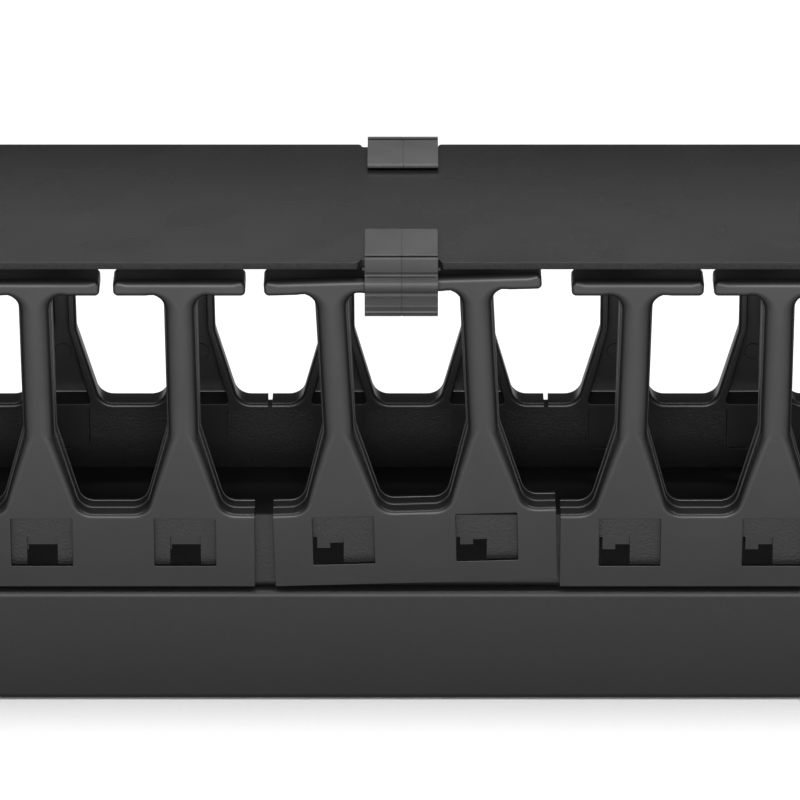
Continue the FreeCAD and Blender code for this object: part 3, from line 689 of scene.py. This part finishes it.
def lever_section(face):
    """Bead and neck, outer wall, waist, the pad that faces the bar, the curled ribbed grip, the roll."""
    bead = round_axis(BEAD, NECK, 2 * np.pi - NECK, BEAD_POINTS)
    before = [(LEVER_OUT, LEVER_TOP), (LEVER_IN, LEVER_TOP), (LEVER_IN, AXIS_UP + BEAD / 2)]
    after = [(LEVER_IN, AXIS_UP - BEAD / 2), (LEVER_IN, SHOULDER_UP), (SHOULDER_OUT, SHOULDER_UP),
             (SHOULDER_OUT, HEEL_UP), (face, BAR_TOP), (face, BAR_FOOT)]
    inside, tip = on_grip(-GRIP_WALL, GRIP_INSIDE), on_grip(0, GRIP_TIP)
    ribs = np.stack([on_grip(0, RIB_TURNS + RIB_WIDTH), on_grip(RIB_HEIGHT, RIB_TURNS),
                     on_grip(0, RIB_TURNS - RIB_WIDTH)], axis=1)[::-1].reshape(-1, 2)
    roll = arc(ROLL_OUT, ROLL_UP, ROLL, ROLL_FROM, ROLL_TO)
    waist = arc(WAIST_OUT, WAIST_UP, WAIST, WAIST_FROM, WAIST_TO)
    corners = np.concatenate([before, bead, after, inside, tip, ribs, roll, waist])
    radii = LEVER_TOP_RADII + [ARC_POINT] * len(bead) + LEVER_SIDE_RADII + RIB_RADII * len(RIB_TURNS)
    radii += [ROLL_FOOT_RADIUS] + [ROLL_POINT] * (len(roll) + len(waist) - 2) + [WAIST_TOP_RADIUS]
    return rounded_path(corners, radii, steps=LEVER_STEPS)


# %% [markdown]
# ## Clips from their sections
# Carrying the section along the clip's width gives the extrusion. It is drawn a little smaller at both
# ends, which eases the cut edges, and at a fine parting line in the middle. The leaf has a wider shoe
# under the cover, which closes the notch.

# %% Carry each section along the width of its clip
CLIP_HALF, JAW_HALF, CLIP_EASE = 11.2, 11.95, 0.14
LINE_HALF, LINE_DEPTH, LINE_PLACE = 0.16, 0.12, 0.1
CLIP_PLACES = [-266.7, 0.0, 266.7]
CLIP_SLIDE = {"front": 0.4, "rear": 0.9}


def clip_patches(section, half, place, side):
    """The section at each station along the clip, drawn in at the ends and at the parting line."""
    points, normals, _ = section
    ease, drawn = CLIP_EASE * np.array([1, 0]), CLIP_EASE * np.array([0, 1])
    line = LINE_PLACE + LINE_HALF * np.array([-1, -0.5, 0.5, 1])
    stations = np.concatenate([-half + drawn, line, half - drawn[::-1]])
    insets = np.concatenate([ease, LINE_DEPTH * np.array([0, 1, 1, 0]), ease[::-1]])
    inward = points[:, None] - normals[:, None] * insets[:, None]
    grid = np.stack([np.broadcast_to(stations + place, inward.shape[:2]), side * inward[:, :, 0],
                     inward[:, :, 1]], axis=2)
    caps = [flat_patch([grid[:, column, 1:]], at_station(grid[0, column, 0])) for column in (0, -1)]
    return [grid_patch(grid, True)] + caps


PAD_GAP = 0.3
LEVER_FACES = {"front": FINGER_FACE + PAD_GAP, "rear": FINGER_FACE}
for side, way in (("front", -1), ("rear", 1)):
    for number, place in enumerate(CLIP_PLACES, 1):
        lever_body = f"front_lever_{number}" if side == "front" else "base"
        place += CLIP_SLIDE[side]
        jaw = clip_patches(jaw_section(), JAW_HALF, place, way)
        leaf = weld(f"{side}_leaf_{number}", clip_patches(leaf_section(), CLIP_HALF, place, way) + jaw)
        stand(f"{side}_clip_leaf_moulding_{number}", leaf, "cover", f"{side}_clip_leaf_{number}",
              "clip_plastic")
        lever = weld(f"{side}_lever_{number}",
                     clip_patches(lever_section(LEVER_FACES[side]), CLIP_HALF, place, way))
        stand(f"{side}_clip_lever_moulding_{number}", lever, lever_body, f"{side}_clip_lever_{number}",
              "clip_plastic")

# %% [markdown]
# ## The cover
# A flat sheet of painted steel with a notch at each clip. Its outline is one closed path, and the
# profile through the sheet rounds both edges where the paint draws back. Faces that look sideways are
# the cut edge, and take the duller finish.

# %% Cover sheet with eased edges and notches
HALF_LENGTH, COVER_EDGE = 406.4, 50.8
NOTCH_HALF, NOTCH_EDGE = 12.25, 48.4
SHEET_EASE, SHEET_DRAFT, SHEET_FOOT = 0.12, 0.35, COVER_FOOT - 0.6
NOTCH_MOUTH_RADIUS, NOTCH_ROOT_RADIUS, COVER_CORNER_RADIUS = 1.3, 0.9, 2.0
SHEET_STEPS = 5
EDGE_FACING = 0.5


def cover_outline():
    """Front edge from left to right, then the rear edge back, both stepping round the notches."""
    front = [(-HALF_LENGTH, -COVER_EDGE, COVER_CORNER_RADIUS)]
    for place in CLIP_PLACES:
        left, right = place - NOTCH_HALF, place + NOTCH_HALF
        front += [(left, -COVER_EDGE, NOTCH_MOUTH_RADIUS), (left, -NOTCH_EDGE, NOTCH_ROOT_RADIUS),
                  (right, -NOTCH_EDGE, NOTCH_ROOT_RADIUS), (right, -COVER_EDGE, NOTCH_MOUTH_RADIUS)]
    front.append((HALF_LENGTH, -COVER_EDGE, COVER_CORNER_RADIUS))
    table = np.array(front + [(-across, -up, radius) for across, up, radius in front])
    return rounded_path(table[:, :2], table[:, 2])


def cover_patches():
    """A quarter round at the top and bottom of the cut edge, which falls back a little towards the foot,
    and the flat faces between them."""
    points, normals, _ = cover_outline()
    turn = np.linspace(0, np.pi / 2, SHEET_STEPS)
    drawn, fall = SHEET_EASE * (1 - np.sin(turn)), SHEET_EASE * (1 - np.cos(turn))
    foot = SHEET_DRAFT + drawn[::-1]
    insets = -np.concatenate([[SHEET_EASE + SUPPORT], drawn, foot, [foot[-1] + SUPPORT]])
    heights = np.concatenate([[COVER_TOP], COVER_TOP - fall, SHEET_FOOT + fall[::-1], [SHEET_FOOT]])
    rim = carry(points, normals, insets, heights)[:, :, [0, 2, 1]]
    return [grid_patch(rim, True), flat_patch([rim[:, 0, :2]], at_height(COVER_TOP)),
            flat_patch([rim[:, -1, :2]], at_height(SHEET_FOOT))]


cover = weld("cover_sheet", cover_patches())
stand("cover_sheet", cover, "cover", "cover_panel", "cover_coat")
cover.materials.append(FINISHES["cut_edge"])
facing = np.empty(len(cover.polygons) * 3)
cover.polygons.foreach_get("normal", facing)
on_edge = np.abs(facing[2::3]) < EDGE_FACING
cover.polygons.foreach_set("material_index", on_edge.astype(np.int32))
print("faces of the cut edge:", on_edge.sum())

# %% [markdown]
# ## The two channels
# The folded channels already have their true shape in the CAD: bends, lips and rows of square holes. They
# stay as they are and only take their finishes.

# %% Finishes on the CAD channels
for node, finish in (("mounting_channel", "channel_coat"), ("duct_channel", "duct_coat")):
    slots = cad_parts[node].material_slots
    for each in slots:
        each.material = FINISHES[finish]
    print(node, "slots:", len(slots))

# %% [markdown]
# ## The table
# The object lies on a white table. A black, satin object shows little but its reflections, so what it
# mirrors matters more than what lights it: the real table is darker close to the object, in its shadow,
# and brighter further away. A sheet just under the table that only reflections see, and that shines more
# with distance, gives that gradient and can be set without changing the table's own white.

# %% Table, and the glow that reflections see
TABLE_HALF, TABLE_NEAR, TABLE_FAR = 6.0, -4.0, 8.0
PAPER_DARK, PAPER_LIGHT, PAPER_GRAIN, PAPER_ROUGH = 0.86, 0.9, 2.0, 0.9
GLOW_HALF, GLOW_HEIGHT, GLOW_NEAR, GLOW_FAR, GLOW_WEAKEST = 1.5, -0.004, 0.05, 0.45, 0.2


def sheet(name, half_width, near, far, height):
    """A level rectangle that is part of the studio."""
    mesh = bpy.data.meshes.new(name)
    grid = np.stack(np.meshgrid([-half_width, half_width], [near, far], [height], indexing="ij"), axis=-1)
    points, faces = grid_patch(grid.reshape(2, 2, 3), False)
    mesh.from_pydata(points.tolist(), [], faces)
    piece = bpy.data.objects.new(name, mesh)
    bpy.context.scene.collection.objects.link(piece)
    return piece


def table_glow(name, far, strongest):
    """A sheet under the table that shines up, evenly stronger from the object's foot to GLOW_FAR away."""
    glow = sheet(name, GLOW_HALF, 0.0, far, GLOW_HEIGHT)
    material, nodes, links, shader, _ = new_finish(name)
    where = nodes.new("ShaderNodeTexCoord")
    split = nodes.new("ShaderNodeSeparateXYZ")
    links.new(where.outputs["Object"], split.inputs["Vector"])
    side = math.copysign(1, far)
    strength = spread(nodes, links, split.outputs["Y"], GLOW_WEAKEST, strongest,
                      side * GLOW_NEAR, side * GLOW_FAR)
    links.new(strength, shader.inputs["Emission Strength"])
    shader.inputs["Emission Color"].default_value = (1, 1, 1, 1)
    shader.inputs["Base Color"].default_value = (0, 0, 0, 1)
    shader.inputs["Specular IOR Level"].default_value = 0
    glow.data.materials.append(material)
    glow.visible_diffuse = False


table = sheet("table", TABLE_HALF, TABLE_NEAR, TABLE_FAR, 0.0)
paper, paper_nodes, paper_links, paper_shader, paper_place = new_finish("table_paper")
paper_noise = noise(paper_nodes, paper_links, paper_place, PAPER_GRAIN)
paper_tint = tint(paper_nodes, paper_links, paper_noise, grey(PAPER_DARK), grey(PAPER_LIGHT))
paper_links.new(paper_tint, paper_shader.inputs["Base Color"])
paper_shader.inputs["Roughness"].default_value = PAPER_ROUGH
table.data.materials.append(paper)
table.visible_glossy = table.visible_diffuse = table.visible_shadow = False
table_glow("front_glow", -2.5, 2.55)
table_glow("back_glow", 2.5, 0.9)
print("table:", len(table.data.polygons), "face, two glows under it")

# %% [markdown]
# ## Lights
# A long soft light overhead brightens the table and the tops of the edges, and a low one in front draws
# the fingers' faces. A third, seen only in reflections, fills the rounded edges between the two, so that
# each has one broad highlight. A thin strip behind shades the cover from front to back.

# %% Soft lights and a faint grey room
ROOM_STRENGTH = 0.02


def soft_light(name, place, aim, size, power):
    """A rectangular area light at place that shines at aim, with its length along the object."""
    data = bpy.data.lights.new(name, "AREA")
    data.shape = "RECTANGLE"
    data.size, data.size_y = size
    data.energy = power
    light = bpy.data.objects.new(name, data)
    bpy.context.scene.collection.objects.link(light)
    way = np.subtract(aim, place)
    light.location = place
    light.visible_camera = False
    flat = math.hypot(way[0], way[1])
    light.rotation_euler = (math.atan2(flat, -way[2]), 0, math.atan2(-way[0], way[1]))
    return light


soft_light("over_light", (0.0, 0.0, 1.7), (0, 0, 0), (3.0, 1.0), 60)
fill = soft_light("fill_light", (0.0, -1.5, 1.25), (0, 0, 0.1), (2.0, 1.0), 6)
fill.visible_diffuse = False
soft_light("front_strip", (0.0, -2.2, 0.62), (0, 0, 0.1), (1.0, 0.4), 28)
soft_light("back_strip", (0.0, 0.20, 0.248), (0, 0, 0.148), (1.8, 0.04), 0.16)

world = bpy.data.worlds.new("studio")
bpy.context.scene.world = world
world.use_nodes = True
room = world.node_tree.nodes["Background"]
room.inputs["Color"].default_value = (1, 1, 1, 1)
room.inputs["Strength"].default_value = ROOM_STRENGTH
bpy.context.scene.view_settings.view_transform = "Standard"
print("lights:", ", ".join(sorted(light.name for light in bpy.data.lights)))

# %% [markdown]
# ## Camera
# A long lens from two metres away looks down at 23 degrees, so the lines of the object stay almost
# parallel, as in a catalogue picture. The plain view transform keeps the white table white.

# %% Camera
SENSOR_WIDTH, LENS = 36.0, 288.5
CAMERA_PLACE, CAMERA_TILT = (0, -1.862, 0.8716), math.radians(67)

lens = bpy.data.cameras.new("camera")
lens.sensor_width, lens.lens = SENSOR_WIDTH, LENS
camera = bpy.data.objects.new("camera", lens)
camera.location = CAMERA_PLACE
camera.rotation_euler = (CAMERA_TILT, 0, 0)
bpy.context.scene.collection.objects.link(camera)
bpy.context.scene.camera = camera
print("camera looks down by", round(90 - math.degrees(CAMERA_TILT), 1), "degrees")
